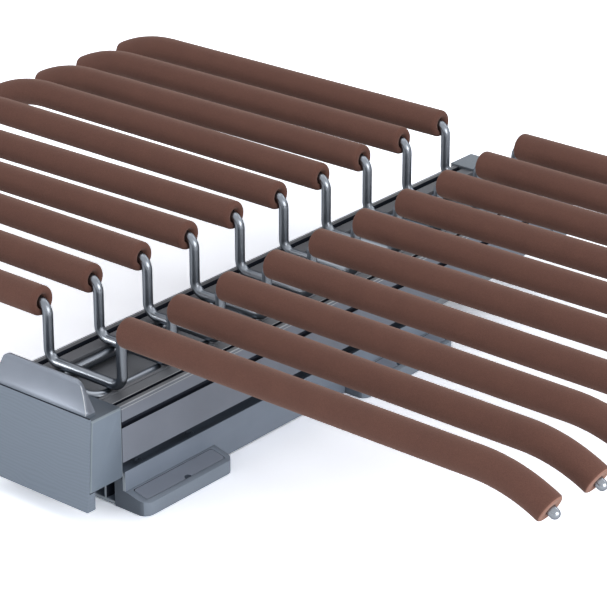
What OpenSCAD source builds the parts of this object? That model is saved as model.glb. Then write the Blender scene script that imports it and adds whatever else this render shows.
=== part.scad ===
// Pull out trouser rack with a row of sleeved arms on each side of a sliding deck.
// X runs across the rack, Y from the front panel to the rear, Z up from the mounting face.
// It stands on its feet with the carriage closed. The origin is the middle of the outer
// mounting holes, on the face that the feet stand on. Sizes along Y are given from the
// face panel, and from_fixing moves each finished piece to the origin.

/* [Hanger wires] */
// distance from one wire to the next along the runner
arm_pitch = 44; // [42:0.5:46]
// diameter of the round wire
wire_d = 6.5; // [6.2:0.1:6.7]
// centre line radius of the tight bends
wire_bend_r = 8; // [7.5:0.1:8.5]
// distance of each post from the middle plane
post_x = 30.4; // [29.5:0.1:31.2]
// height of the arm centre above the cross bar centre
arm_rise = 37.8; // [34:0.2:42]
// distance from the middle plane at which an arm begins to curve
arm_straight_x = 290.6; // [240:0.2:320]
// centre line radius of the curved arm end
tip_curve_r = 103; // [90:1:120]
// angle through which the arm end curves
tip_angle = 30; // [20:1:32]
// gap left under each cross bar and over the loop rods
weld_gap = 0.25; // [0.2:0.01:0.3]

/* [Arm sleeves] */
// outside diameter of a sleeve
sleeve_d = 19; // [17:0.2:19.6]
// play between wire and sleeve, measured on the radius
sleeve_gap = 0.3; // [0.25:0.01:0.4]
// distance from the post's surface to the sleeve's inner end
sleeve_post_gap = 0.5; // [0.45:0.05:1.2]
// radius of the wider mouth at the inner end
sleeve_mouth_r = 5.6; // [5.5:0.05:6]
// depth of that wider mouth
sleeve_mouth_l = 5.4; // [5.2:0.1:6.5]
// length of bare wire that stands out of the outer end
tip_bare_l = 3; // [1.8:0.1:3.6]
// how far the rounded end is set into the wire
tip_ease = 0.3; // [0.2:0.05:0.5]

/* [Loop under the arms] */
// distance from the channel's side to the centre of each long rod
rod_in = 4.95; // [4.7:0.05:5.6]
// centre of the loop's front bar along the runner
loop_front_y = 33.4; // [33:0.1:34]
// distance from the loop's rear bar to the end of the deck
loop_tail = 12; // [10:0.5:14]
// length of one rod holder along the runner
holder_l = 12; // [10:0.5:14]
// height of a rod holder
holder_h = 4.8; // [4.4:0.1:5.4]
// play between a rod and its holder
holder_gap = 0.3; // [0.25:0.01:0.4]

/* [Carriage deck] */
// full width of the deck
deck_w = 88; // [87.6:0.1:88.4]
// height of the deck's top face
deck_top_z = 68.4; // [68:0.1:69]
// thickness of the deck plate
deck_t = 2.4; // [2.2:0.1:2.6]
// front end of the deck
deck_front_y = 28.4; // [28.2:0.1:28.6]
// first wire's place along the runner
first_wire_y = 44; // [43.6:0.1:46]
// length of deck behind the last wire
deck_tail = 27; // [25:0.5:30]
// share of the deck's width that the sunk middle channel takes
recess_share = 0.55; // [0.545:0.001:0.555]
// depth of the sunk middle channel
recess_depth = 8.4; // [8.2:0.1:8.8]
// thickness of the channel's floor and sides
recess_t = 2.2; // [2:0.1:2.4]
// width of the raised bead beside the channel
bead_w = 2.4; // [2:0.1:3]
// how far the flat bands lie below the beads
band_drop = 0.5; // [0.4:0.05:0.7]
// share of the deck's half width at which the deck groove lies
groove_share = 0.833; // [0.829:0.001:0.837]
// width of the deck groove
deck_groove_w = 3.7; // [3.4:0.1:3.9]
// depth of the deck groove
deck_groove_depth = 4.2; // [3.6:0.1:4.6]
// wall left round the deck groove
groove_wall = 1.8; // [1.6:0.1:2]
// thickness of the outer side walls
side_t = 2.4; // [2.2:0.1:2.6]
// lower edge of the carriage's side walls
side_bottom_z = 32.5; // [32:0.1:33]
// centre height of the groove along the side
side_groove_z = 57.3; // [57:0.1:57.6]
// height of the groove along the side
side_groove_h = 4.2; // [3.8:0.1:4.4]
// depth of the groove along the side
side_groove_depth = 3; // [2.8:0.1:3.2]
// width of the slope along the deck's top edges
edge_w = 2.2; // [1.8:0.1:2.4]
// height of that slope
edge_drop = 0.7; // [0.5:0.1:0.9]
// distance from the hanging walls' inner faces to the rail's webs
runner_space = 14.2; // [14.15:0.05:14.25]
// thickness of the hanging walls
hang_t = 1.8; // [1.6:0.05:1.85]
// lower edge of the hanging walls
hang_bottom_z = 16; // [15.5:0.1:17]
// outside radius of a screw channel
channel_r = 3.2; // [3:0.05:3.3]
// distance from the sunk channel's side to the upper screw channels
channel_up_out = 5.2; // [5.1:0.05:5.3]
// height of the upper screw channels
channel_up_z = 62.6; // [62.4:0.05:62.8]
// distance from the deck's side to the lower screw channels
channel_low_in = 5.4; // [5.3:0.05:5.5]
// height of the lower screw channels
channel_low_z = 38; // [37.5:0.1:38.5]

/* [Fixed rail] */
// front end of the fixed rail
rail_front_y = 29.9; // [29.8:0.1:30.2]
// length of rail behind the outer runner member
rail_tail = 2; // [1.6:0.1:3]
// underside of the rail above the mounting face
rail_bottom_z = 0.8; // [0.6:0.05:0.9]
// thickness of the rail's floor
rail_floor_t = 2.2; // [2:0.1:2.4]
// top of the rail's side walls
rail_side_top_z = 25.7; // [25.5:0.1:26]
// thickness of the plate that closes the side chambers
bridge_t = 2.2; // [2:0.1:2.4]
// thickness of the rail's outer walls
rail_side_t = 2.3; // [2.2:0.05:2.35]
// share of the deck's half width at which the upright webs stand
web_share = 0.6; // [0.598:0.001:0.602]
// thickness of the upright webs
web_t = 1.6; // [1.5:0.05:1.7]
// top of the upright webs
web_top_z = 51; // [50:0.5:52]
// distance from the rail's side to the edge of its floor
floor_in = 9.3; // [9:0.1:9.6]

/* [Mounting feet] */
// width of the feet outside the rail
foot_w = 16.4; // [15.5:0.1:17]
// length of the front feet
foot_front_l = 80; // [78:0.5:82]
// distance from the rail's rear end to the rear feet
foot_rear_in = 1.5; // [1:0.1:2]
// length of the rear feet
foot_rear_l = 97; // [94:0.5:97.5]
// height of the foot at the rail's side
foot_in_h = 12.3; // [12:0.1:12.5]
// height of the foot at its outer edge
foot_out_h = 8.8; // [8.4:0.1:9]
// rounding of the outer upright corners
foot_corner_r = 6.5; // [5:0.1:7]
// top of the upright leg inside the rail
leg_top_z = 19.6; // [19:0.1:20]
// play around the upright leg and above the foot
leg_gap = 0.3; // [0.25:0.01:0.35]
// distance from the rail's side to the cover
cover_in = 1.4; // [1.2:0.1:1.6]
// width of the screw cover
cover_w = 11.4; // [11:0.1:11.8]
// distance from the front of a foot to its cover
cover_end = 5.2; // [5:0.1:6]
// distance from the rear of a foot to its cover
cover_rear_end = 4.6; // [4.4:0.1:5]
// thickness of the cover plate
cover_t = 1.6; // [1.4:0.1:1.8]
// play around the cover
cover_gap = 0.35; // [0.3:0.01:0.4]
// rounding of the cover's corners
cover_r = 2; // [1.6:0.1:2.4]
// distance from the front of the foot to the pry notch
notch_y = 42; // [41:0.5:43]
// radius of the pry notch
notch_r = 2.6; // [2.2:0.1:3]
// depth of the pry notch
notch_depth = 0.9; // [0.7:0.1:1]
// floor left under the screw pocket
pocket_floor = 3; // [2.8:0.1:3.2]
// rim left round the screw pocket under the cover
pocket_rim = 1.6; // [1.4:0.1:1.8]
// radius of a mounting hole
mount_hole_r = 2.25; // [2.1:0.05:2.4]
// distance from a foot's end to its mounting hole
mount_end = 17; // [16:0.5:18]
// radius of the peg under the cover
peg_r = 1.4; // [1.2:0.1:1.5]
// distance from a foot's end to the cover's peg
peg_end = 27; // [26:0.5:28]

/* [Runners] */
// height of the runners' centre line
runner_z = 28; // [27.8:0.05:28.2]
// half height of the outer member
outer_half = 21; // [20.9:0.05:21.1]
// half height of the middle member
middle_half = 15.6; // [15.55:0.05:15.65]
// half height of the inner member
inner_half = 10.2; // [10.15:0.05:10.25]
// thickness of the steel strip of the members
strip_t = 1.2; // [1.15:0.05:1.25]
// thickness of the ball cages
cage_t = 0.5; // [0.45:0.05:0.55]
// gap between one member's web and the next piece
member_gap = 0.4; // [0.38:0.01:0.42]
// distance from the hanging walls to the free edge of the outer flanges
flange_in = 1.7; // [1.65:0.05:1.75]
// height of the turned edge that keeps the balls in
turned_edge = 1.3; // [1.2:0.05:1.4]
// front end of all runner members
runner_front_y = 36; // [35.5:0.1:36.5]
// length of the outer member
outer_l = 298; // [296:0.5:298.5]
// length of the middle and inner members
middle_l = 404; // [400:1:406]
// radius of a ball
ball_r = 1.8; // [1.75:0.01:1.82]
// play of a ball in its cage
ball_play = 0.08; // [0.06:0.01:0.1]
// front end of the ball cages when closed
cage_front_y = 142; // [141:0.5:143]
// distance from the rear of the outer member to the ball cages
cage_tail = 8; // [6:1:12]
// height of the cage strips between the tracks
cage_strip_h = 0.8; // [0.7:0.05:0.9]
// number of balls in one row
ball_count = 6; // [4:1:8]
// length over which the carriage slides between its stops
slide_l = 400; // [390:1:400]

/* [Screws] */
// radius of the runner and end cap screws
screw_r = 1.7; // [1.6:0.05:1.75]
// radius of their heads
screw_head_r = 3.2; // [3:0.05:3.3]
// height of their heads
screw_head_h = 2; // [1.8:0.05:2.2]
// play of a screw in its hole
screw_play = 0.12; // [0.1:0.01:0.15]
// distance from a runner's end to its first screw
screw_end = 24; // [22:0.5:26]
// height of the outer member's screws
outer_screw_z = 34; // [33.8:0.1:34.4]
// length of an end cap screw inside the deck
cap_screw_l = 16; // [15:0.5:17]
// depth of the driver socket in a head
socket_depth = 1; // [0.9:0.05:1.1]
// radius of the driver socket in a head
socket_r = 1.3; // [1.2:0.05:1.4]
// radius of the foot screws
foot_screw_r = 1.5; // [1.4:0.05:1.55]
// length of a foot screw below its head
foot_screw_l = 15; // [14:0.5:15.5]
// radius of a foot screw's head
foot_head_r = 2.8; // [2.6:0.05:2.8]
// height of a foot screw's head, which is sunk flush
foot_head_h = 1.2; // [1.1:0.05:1.3]
// depth of the driver socket in that head
foot_socket_depth = 0.7; // [0.6:0.05:0.8]

/* [Front cap] */
// underside of the block that closes the runner's front
block_bottom_z = 23.3; // [23:0.1:23.5]
// front face of the plate on which the face panel sits
plate_y = 4.4; // [4.2:0.1:4.6]
// thickness of the casting's walls
cast_t = 2.6; // [2.4:0.1:2.8]
// how far the cap stands above the deck
cap_over = 0.6; // [0.4:0.1:0.8]
// lower edge of the face panel
panel_bottom_z = 11.1; // [10.8:0.1:11.4]
// upper edge of the face panel
panel_top_z = 71.2; // [71:0.1:71.4]
// front of the panel at its top edge
panel_top_y = 1.4; // [1.3:0.1:1.5]
// how far the panel's bottom edge leans forward of zero
panel_lean = 2.7; // [2.4:0.1:3]
// thickness of the panel's edge as seen from the side
sheet_t = 1.6; // [1.4:0.1:1.7]
// thin gap between the panel's edge and the cap
panel_gap = 0.35; // [0.3:0.05:0.4]
// thickness of the cap's cheeks beside the panel
cheek_t = 2; // [1.9:0.05:2.05]
// top of the handle lip
lip_top_z = 90.3; // [89:0.1:92]
// radius of the hollow in the lip's front
lip_hollow_r = 57; // [54:0.5:62]
// how far the hollow's centre lies above the lip
lip_hollow_up = 1.6; // [1.2:0.1:2.2]
// front of the lip at its top
lip_top_y = 7.2; // [7:0.1:7.5]
// thickness of the lip at its top
lip_top_t = 1.9; // [1.7:0.1:2.4]
// rear of the lip at deck height
lip_foot_y = 11.6; // [11:0.1:12.5]
// distance from the cap's side to the lip's edge at its top
lip_top_in = 10.6; // [9.5:0.1:12]
// distance from the cap's side to the lip's edge at its foot
lip_foot_in = 4.8; // [4:0.1:5.5]
// rounding of the lip's top corners
lip_corner_r = 7; // [6:0.1:8]
// radius of the pegs behind the face panel
panel_peg_r = 2; // [1.8:0.1:2.2]
// distance of those pegs from the middle plane
panel_peg_x = 20; // [19:0.5:21]

/* [Rear cap] */
// depth of the rear cap
rear_cap_l = 24; // [22:0.5:26]
// how far the rear cap stands out around the deck
rear_cap_over = 1.2; // [1:0.1:1.5]
// distance from the deck's side to the opening under the rear cap
rear_open_in = 9.6; // [9.4:0.1:9.8]
// top of the opening under the rear cap
rear_open_z = 56; // [55.5:0.1:56.5]
// thickness of the rear cap's end wall
rear_wall_t = 4; // [3.6:0.1:4.4]

/* [Damper and stops] */
// radius of the damper's cylinder
damper_r = 6; // [5.8:0.1:6.2]
// distance from the damper to the rail's rear end
damper_tail = 8; // [4:1:12]
// length of the damper's cylinder
damper_l = 138; // [134:1:140]
// height of the damper's axis
damper_z = 12.4; // [12.2:0.1:12.8]
// radius of the damper's rod
damper_rod_r = 1.6; // [1.5:0.1:1.8]
// length of rod that stands out when closed
damper_rod_l = 12; // [11:0.5:13]
// radius of the rod's end button
damper_button_r = 3; // [2.8:0.1:3.2]
// thickness of the rod's end button
damper_button_l = 2.4; // [2:0.1:2.8]
// half width of the striker on the carriage
striker_half = 7; // [6.5:0.1:7.5]
// length of the striker along the runner
striker_l = 10; // [9:0.5:11]
// gap between pieces that meet at a stop
stop_gap = 0.3; // [0.25:0.01:0.35]
// half width of the damper's clips
clip_half = 8.6; // [8.4:0.1:9]
// length of a damper clip along the runner
clip_l = 10; // [9:0.5:11]
// thickness of the rubber stop pads
pad_t = 1.1; // [1:0.05:1.15]
// half length of a stop pad across the rail
pad_half = 5.6; // [5:0.1:6]

/* [Hidden] */
$fn = 48;
arm_count = 10;
corner_steps = 10;
wire_r = wire_d / 2;
half_w = deck_w / 2;
bar_z = deck_top_z + weld_gap + wire_r;
rod_z = bar_z - wire_d - weld_gap;
arm_z = bar_z + arm_rise;
last_wire_y = first_wire_y + (arm_count - 1) * arm_pitch;
deck_rear_y = last_wire_y + deck_tail;
deck_l = deck_rear_y - deck_front_y;
recess_half = half_w * recess_share;
deck_groove_x = half_w * groove_share;
web_x = half_w * web_share;
hang_x = web_x - runner_space;
rod_x = recess_half - rod_in;
channel_up_x = recess_half + channel_up_out;
channel_low_x = half_w - channel_low_in;
recess_z = deck_top_z - recess_depth;
loop_rear_y = deck_rear_y - loop_tail;
sleeve_start_x = post_x + wire_r + sleeve_post_gap;
sleeve_angle = tip_angle - tip_bare_l / tip_curve_r * 180 / PI;
outer_rear_y = runner_front_y + outer_l;
rail_rear_y = outer_rear_y + rail_tail;
rail_l = rail_rear_y - rail_front_y;
cage_l = outer_rear_y - cage_tail - cage_front_y;
damper_y = rail_rear_y - damper_tail - damper_l;
rail_floor_z = rail_bottom_z + rail_floor_t;
rail_side_x = half_w - rail_side_t;
floor_edge_x = half_w - floor_in;
leg_in_x = floor_edge_x + leg_gap;
foot_x = half_w + foot_w;
foot_front_y = rail_front_y;
foot_rear_y = rail_rear_y - foot_rear_in - foot_rear_l;
leg_out_x = rail_side_x - leg_gap;
leg_mid_x = (leg_in_x + leg_out_x) / 2;
notch_top_z = foot_in_h + leg_gap;
foot_slope = atan((foot_in_h - foot_out_h) / (foot_x - half_w));
outer_web_x = web_x - strip_t;
outer_cage_x = outer_web_x - member_gap - cage_t;
middle_web_x = outer_cage_x - member_gap - strip_t;
inner_cage_x = middle_web_x - member_gap - cage_t;
inner_tip_x = inner_cage_x - member_gap;
flange_end_x = hang_x + hang_t + flange_in;
inner_web_x = hang_x + hang_t;
outer_track = (outer_half - strip_t + middle_half) / 2;
inner_track = (middle_half - strip_t + inner_half) / 2;
ball_x = (flange_end_x + outer_web_x) / 2;
inner_ball_x = (flange_end_x + inner_tip_x) / 2;
cage_edge_x = flange_end_x + strip_t + member_gap;
ball_step = cage_l / ball_count;
stop_l = cage_front_y - slide_l / 4 - stop_gap - runner_front_y;
block_top_z = deck_top_z + cap_over;
screw_hole_r = screw_r + screw_play;
head_hole_r = screw_head_r + screw_play;
rear_out_half = half_w + rear_cap_over;
rear_out_z = deck_top_z + rear_cap_over;
rear_end_y = deck_rear_y + rear_cap_l;
rear_open_half = half_w - rear_open_in;
lip_top_half = half_w - lip_top_in;
lip_foot_half = half_w - lip_foot_in;
front_screw_l = deck_front_y - plate_y - screw_head_h + cap_screw_l;
striker_y = damper_y - damper_rod_l - damper_button_l - stop_gap - striker_l;
fixing_y = (foot_front_y + foot_rear_y + foot_rear_l) / 2;

// helpers

// moves a piece laid out from the face panel to the origin at the fixing holes
module from_fixing()
    translate([0, -fixing_y, 0])
        children();

module box(x0, y0, z0, x1, y1, z1)
    translate([x0, y0, z0])
        cube([x1 - x0, y1 - y0, z1 - z0]);

module patch(x0, z0, x1, z1)
    translate([x0, z0])
        square([x1 - x0, z1 - z0]);

module both_sides() {
    children();
    mirror([1, 0, 0])
        children();
}

module along_y(y0, length)
    translate([0, y0 + length, 0])
        rotate([90, 0, 0])
            linear_extrude(height = length)
                children();

module along_x(x0, length)
    translate([x0, 0, 0])
        rotate([90, 0, 90])
            linear_extrude(height = length)
                children();

module rod_y(x, y0, z, r, length)
    translate([x, y0, z])
        rotate([-90, 0, 0])
            cylinder(r = r, h = length);

module rod_x_dir(x0, y, z, r, length)
    translate([x0, y, z])
        rotate([0, 90, 0])
            cylinder(r = r, h = length);

// round bar bent about a centre in the plane across the runner
module bend_across(x, y, z, radius, r, start, sweep)
    translate([x, y, z])
        rotate([90, 0, 0])
            rotate([0, 0, start])
                rotate_extrude(angle = sweep)
                    translate([radius, 0])
                        circle(r = r);

// round bar bent about a centre in a level plane
module bend_level(x, y, z, radius, r, start, sweep)
    translate([x, y, z])
        rotate([0, 0, start])
            rotate_extrude(angle = sweep)
                translate([radius, 0])
                    circle(r = r);

// hanger wires and sleeves

module arm_wire(y) {
    color("slategray") {
        rod_x_dir(wire_bend_r - post_x, y, bar_z, wire_r, 2 * (post_x - wire_bend_r));
        both_sides() {
            bend_across(post_x - wire_bend_r, y, bar_z + wire_bend_r, wire_bend_r, wire_r, -90, 90);
            translate([post_x, y, bar_z + wire_bend_r])
                cylinder(r = wire_r, h = arm_rise - 2 * wire_bend_r);
            bend_across(post_x + wire_bend_r, y, arm_z - wire_bend_r, wire_bend_r, wire_r, 90, 90);
            rod_x_dir(post_x + wire_bend_r, y, arm_z, wire_r,
                arm_straight_x - post_x - wire_bend_r);
            translate([arm_straight_x, y, arm_z - tip_curve_r])
                mirror([1, 0, 0]) {
                    bend_across(0, 0, 0, tip_curve_r, wire_r, 90, tip_angle);
                    rotate([0, -tip_angle, 0])
                        translate([tip_ease, 0, tip_curve_r])
                            sphere(r = wire_r - tip_ease / 4);
                }
        }
    }
}

module arm_sleeves(y)
    color("saddlebrown")
        both_sides()
            one_sleeve(y);

// straight tube with a wider mouth, carried on into a bent tube of the same section
module one_sleeve(y) {
    bore_r = wire_r + sleeve_gap;
    straight = arm_straight_x - sleeve_start_x;
    difference() {
        rod_x_dir(sleeve_start_x, y, arm_z, sleeve_d / 2, straight);
        rod_x_dir(sleeve_start_x - sleeve_gap, y, arm_z, bore_r, straight + 2 * sleeve_gap);
        rod_x_dir(sleeve_start_x - sleeve_gap, y, arm_z, sleeve_mouth_r,
            sleeve_mouth_l + sleeve_gap);
    }
    translate([arm_straight_x, y, arm_z - tip_curve_r])
        mirror([1, 0, 0])
            rotate([90, 0, 0])
                rotate([0, 0, 90])
                    rotate_extrude(angle = sleeve_angle)
                        translate([tip_curve_r, 0])
                            difference() {
                                circle(r = sleeve_d / 2);
                                circle(r = bore_r);
                            }
}

// loop that joins all the wires

module welded_loop() {
    straight_x = rod_x - wire_bend_r;
    rod_start = loop_front_y + wire_bend_r;
    rod_run = loop_rear_y - loop_front_y - 2 * wire_bend_r;
    color("slategray") {
        rod_x_dir(-straight_x, loop_front_y, rod_z, wire_r, 2 * straight_x);
        rod_x_dir(-straight_x, loop_rear_y, rod_z, wire_r, 2 * straight_x);
        both_sides() {
            rod_y(rod_x, rod_start, rod_z, wire_r, rod_run);
            bend_level(straight_x, rod_start, rod_z, wire_bend_r, wire_r, -90, 90);
            bend_level(straight_x, loop_rear_y - wire_bend_r, rod_z, wire_bend_r, wire_r, 0, 90);
        }
    }
}

function holder_y(i) = first_wire_y + (1 + i * (arm_count - 4) / 2 + 1 / 2) * arm_pitch;

module rod_holders() {
    seat_r = wire_r + holder_gap;
    color("dimgray")
        for (i = [0 : 2])
            difference() {
                box(holder_gap - recess_half, holder_y(i) - holder_l / 2, recess_z,
                    recess_half - holder_gap, holder_y(i) + holder_l / 2, recess_z + holder_h);
                both_sides()
                    rod_y(rod_x, holder_y(i) - holder_l, rod_z, seat_r, 2 * holder_l);
            }
}

// carriage

module groove_ring_half() {
    block_half = deck_groove_w / 2 + groove_wall;
    patch(deck_groove_x - block_half, deck_top_z - deck_groove_depth - groove_wall,
        deck_groove_x + block_half, deck_top_z - band_drop);
}

module deck_half() {
    side_in_x = half_w - side_t;
    block_in_x = half_w - side_groove_depth - side_t;
    difference() {
        union() {
            patch(0, recess_z - recess_t, recess_half + recess_t, recess_z);
            patch(recess_half, recess_z - recess_t, recess_half + recess_t, deck_top_z);
            patch(recess_half, deck_top_z - deck_t - band_drop, half_w - edge_w,
                deck_top_z - band_drop);
            patch(recess_half, deck_top_z - deck_t, recess_half + bead_w, deck_top_z);
            groove_ring_half();
            patch(deck_groove_x + deck_groove_w / 2, deck_top_z - deck_t, half_w, deck_top_z);
            patch(side_in_x, side_bottom_z, half_w, deck_top_z - deck_t / 2);
            patch(block_in_x, side_groove_z - side_groove_h / 2 - groove_wall, half_w,
                side_groove_z + side_groove_h / 2 + groove_wall);
            patch(hang_x, hang_bottom_z, hang_x + hang_t, recess_z);
            translate([channel_up_x, channel_up_z])
                circle(r = channel_r);
            translate([channel_low_x, channel_low_z])
                circle(r = channel_r);
        }
        patch(deck_groove_x - deck_groove_w / 2, deck_top_z - deck_groove_depth,
            deck_groove_x + deck_groove_w / 2, deck_top_z + deck_t);
        polygon([[half_w - 2 * edge_w, deck_top_z + edge_drop],
            [half_w + edge_w, deck_top_z - 2 * edge_drop], [half_w + edge_w, deck_top_z + edge_drop]]);
        patch(half_w - side_groove_depth, side_groove_z - side_groove_h / 2, half_w + side_t,
            side_groove_z + side_groove_h / 2);
        translate([channel_up_x, channel_up_z])
            circle(r = screw_hole_r);
        translate([channel_low_x, channel_low_z])
            circle(r = screw_hole_r);
    }
}

module carriage_deck()
    color("dimgray")
        difference() {
            along_y(deck_front_y, deck_l)
                both_sides()
                    deck_half();
            for (y = inner_screw_places)
                both_sides()
                    rod_x_dir(hang_x - hang_t, y, runner_z, screw_hole_r, 3 * hang_t);
            both_sides()
                translate([striker_half / 2, striker_y + striker_l / 2, recess_z - 2 * recess_t])
                    cylinder(r = screw_hole_r, h = 4 * recess_t);
        }

inner_screw_places = [runner_front_y + screw_end, runner_front_y + middle_l / 2,
    runner_front_y + middle_l - screw_end];
outer_screw_places = [runner_front_y + screw_end, runner_front_y + outer_l / 2,
    runner_front_y + outer_l - screw_end];

module inner_member()
    difference() {
        along_y(runner_front_y, middle_l)
            inner_profile();
        for (y = inner_screw_places)
            rod_x_dir(inner_web_x - strip_t, y, runner_z, screw_hole_r, 3 * strip_t);
    }

module inner_profile() {
    patch(inner_web_x, runner_z - inner_half, inner_web_x + strip_t, runner_z + inner_half);
    patch(inner_web_x, runner_z - inner_half, inner_tip_x, runner_z - inner_half + strip_t);
    patch(inner_web_x, runner_z + inner_half - strip_t, inner_tip_x, runner_z + inner_half);
}

module inner_member_left()
    color("silver")
        mirror([1, 0, 0])
            inner_member();

module inner_member_right()
    color("silver")
        inner_member();

module middle_profile() {
    patch(middle_web_x, runner_z - middle_half, middle_web_x + strip_t, runner_z + middle_half);
    patch(flange_end_x, runner_z - middle_half, middle_web_x, runner_z - middle_half + strip_t);
    patch(flange_end_x, runner_z + middle_half - strip_t, middle_web_x, runner_z + middle_half);
    patch(flange_end_x, runner_z + middle_half, flange_end_x + strip_t,
        runner_z + middle_half + turned_edge);
    patch(flange_end_x, runner_z - middle_half - turned_edge, flange_end_x + strip_t,
        runner_z - middle_half);
}

// tab in a ball track that the cage meets at the end of its travel
module track_stop(track, reach_z, reach_x)
    for (s = [0, 1])
        translate([0, 0, 2 * s * runner_z])
            mirror([0, 0, s])
                box(cage_edge_x, runner_front_y, runner_z + track - cage_strip_h,
                    reach_x, runner_front_y + stop_l, runner_z + reach_z);

module middle_member() {
    along_y(runner_front_y, middle_l)
        middle_profile();
    track_stop(inner_track, middle_half - strip_t, middle_web_x - member_gap);
}

module middle_member_left()
    color("gainsboro")
        mirror([1, 0, 0])
            middle_member();

module middle_member_right()
    color("gainsboro")
        middle_member();

module outer_profile() {
    patch(outer_web_x, runner_z - outer_half, web_x, runner_z + outer_half);
    patch(flange_end_x, runner_z - outer_half, outer_web_x, runner_z - outer_half + strip_t);
    patch(flange_end_x, runner_z + outer_half - strip_t, outer_web_x, runner_z + outer_half);
}

module outer_member() {
    difference() {
        along_y(runner_front_y, outer_l)
            outer_profile();
        for (y = outer_screw_places)
            rod_x_dir(outer_web_x - strip_t, y, outer_screw_z, screw_hole_r, 3 * strip_t);
    }
    track_stop(outer_track, outer_half - strip_t, outer_web_x - member_gap);
}

module outer_member_left()
    color("silver")
        mirror([1, 0, 0])
            outer_member();

module outer_member_right()
    color("silver")
        outer_member();

// strip cage bent round the track, with a round pocket for each ball
module cage(web, track, pocket_x)
    difference() {
        along_y(cage_front_y, cage_l) {
            patch(web, runner_z - track - cage_strip_h / 2, web + cage_t,
                runner_z + track + cage_strip_h / 2);
            patch(cage_edge_x, runner_z + track - cage_strip_h / 2, web,
                runner_z + track + cage_strip_h / 2);
            patch(cage_edge_x, runner_z - track - cage_strip_h / 2, web,
                runner_z - track + cage_strip_h / 2);
        }
        for (i = [0 : ball_count - 1])
            for (s = [-1, 1])
                translate([pocket_x, cage_front_y + (i + 1 / 2) * ball_step,
                    runner_z + s * track - cage_strip_h])
                    cylinder(r = ball_r + ball_play, h = 2 * cage_strip_h);
    }

module ball_rows(track, pocket_x)
    for (i = [0 : ball_count - 1])
        for (s = [-1, 1])
            translate([pocket_x, cage_front_y + (i + 1 / 2) * ball_step, runner_z + s * track])
                sphere(r = ball_r);

module outer_cages()
    color("goldenrod")
        both_sides()
            cage(outer_cage_x, outer_track, ball_x);

module outer_balls()
    color("white")
        both_sides()
            ball_rows(outer_track, ball_x);

module inner_cages()
    color("goldenrod")
        both_sides()
            cage(inner_cage_x, inner_track, inner_ball_x);

module inner_balls()
    color("white")
        both_sides()
            ball_rows(inner_track, inner_ball_x);

// screws

// flat head screw with its shank pointing along plus Z from the origin
module head_screw(r, length, head_r, head_h, depth)
    difference() {
        union() {
            cylinder(r = r, h = length);
            translate([0, 0, -head_h])
                cylinder(r = head_r, h = head_h);
        }
        translate([0, 0, -head_h])
            cylinder(r = socket_r, h = depth, $fn = 6);
    }

module pan_screw(r, length, head_r)
    head_screw(r, length, head_r, screw_head_h, socket_depth);

module inner_screws()
    color("darkgray")
        both_sides() {
            for (y = inner_screw_places)
                translate([hang_x, y, runner_z])
                    rotate([0, 90, 0])
                        pan_screw(screw_r, hang_t + strip_t, screw_head_r);
            translate([striker_half / 2, striker_y + striker_l / 2, recess_z])
                rotate([180, 0, 0])
                    pan_screw(screw_r, 3 * recess_t, screw_head_r);
        }

module outer_screws()
    color("darkgray")
        both_sides()
            for (y = outer_screw_places)
                translate([web_x + web_t, y, outer_screw_z])
                    rotate([0, -90, 0])
                        pan_screw(screw_r, web_t + strip_t, screw_head_r);

module front_cap_screws()
    both_sides() {
        translate([channel_up_x, plate_y + screw_head_h, channel_up_z])
            rotate([-90, 0, 0])
                pan_screw(screw_r, front_screw_l, screw_head_r);
        translate([channel_low_x, plate_y + screw_head_h, channel_low_z])
            rotate([-90, 0, 0])
                pan_screw(screw_r, front_screw_l, screw_head_r);
    }

module rear_cap_screws() {
    seat_y = rear_end_y - screw_head_h;
    long_screw = rear_cap_l - screw_head_h + cap_screw_l;
    both_sides() {
        translate([channel_up_x, seat_y, channel_up_z])
            rotate([90, 0, 0])
                pan_screw(screw_r, long_screw, screw_head_r);
        translate([channel_low_x, seat_y, channel_low_z])
            rotate([90, 0, 0])
                pan_screw(screw_r, long_screw, screw_head_r);
    }
}

module cap_screws()
    color("darkgray") {
        front_cap_screws();
        rear_cap_screws();
    }

foot_screw_ends = [[foot_front_y, foot_front_l], [foot_rear_y, foot_rear_l]];

module foot_screws()
    color("darkgray")
        both_sides()
            for (f = foot_screw_ends)
                for (y = [f[0] + mount_end, f[0] + f[1] - mount_end])
                    translate([leg_mid_x, y, rail_side_top_z - foot_head_h])
                        rotate([180, 0, 0])
                            head_screw(foot_screw_r, foot_screw_l, foot_head_r, foot_head_h,
                                foot_socket_depth);

// front cap

module cap_tube(x, z)
    rod_y(x, plate_y, z, head_hole_r + cast_t / 2, deck_front_y - plate_y);

module cap_tube_bore(x, z) {
    rod_y(x, plate_y - cast_t, z, screw_hole_r, deck_front_y);
    rod_y(x, plate_y - screw_play, z, head_hole_r, screw_play + screw_head_h);
}

// outline of the lip with its rounded upper corners
module lip_outline() {
    side_rise = lip_top_z - lip_corner_r - panel_top_z;
    lean = atan((lip_foot_half - lip_top_half) / side_rise);
    low_z = block_top_z - cast_t;
    corner = [for (i = [0 : corner_steps])
        let (a = lean + (90 - lean) * i / corner_steps)
            [lip_top_half - lip_corner_r + lip_corner_r * cos(a),
                lip_top_z - lip_corner_r + lip_corner_r * sin(a)]];
    polygon(concat([[-lip_foot_half, panel_top_z], [-lip_foot_half, low_z],
        [lip_foot_half, low_z], [lip_foot_half, panel_top_z]], corner,
        [for (i = [corner_steps : -1 : 0]) [-corner[i][0], corner[i][1]]]));
}

// front of the leaning panel at a height
function panel_y(z) = (panel_top_y + panel_lean) * (z - panel_bottom_z)
    / (panel_top_z - panel_bottom_z) - panel_lean;

// front of the cap behind the panel's edge at a height
function rim_y(z) = panel_y(z) + sheet_t + panel_gap;

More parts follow.
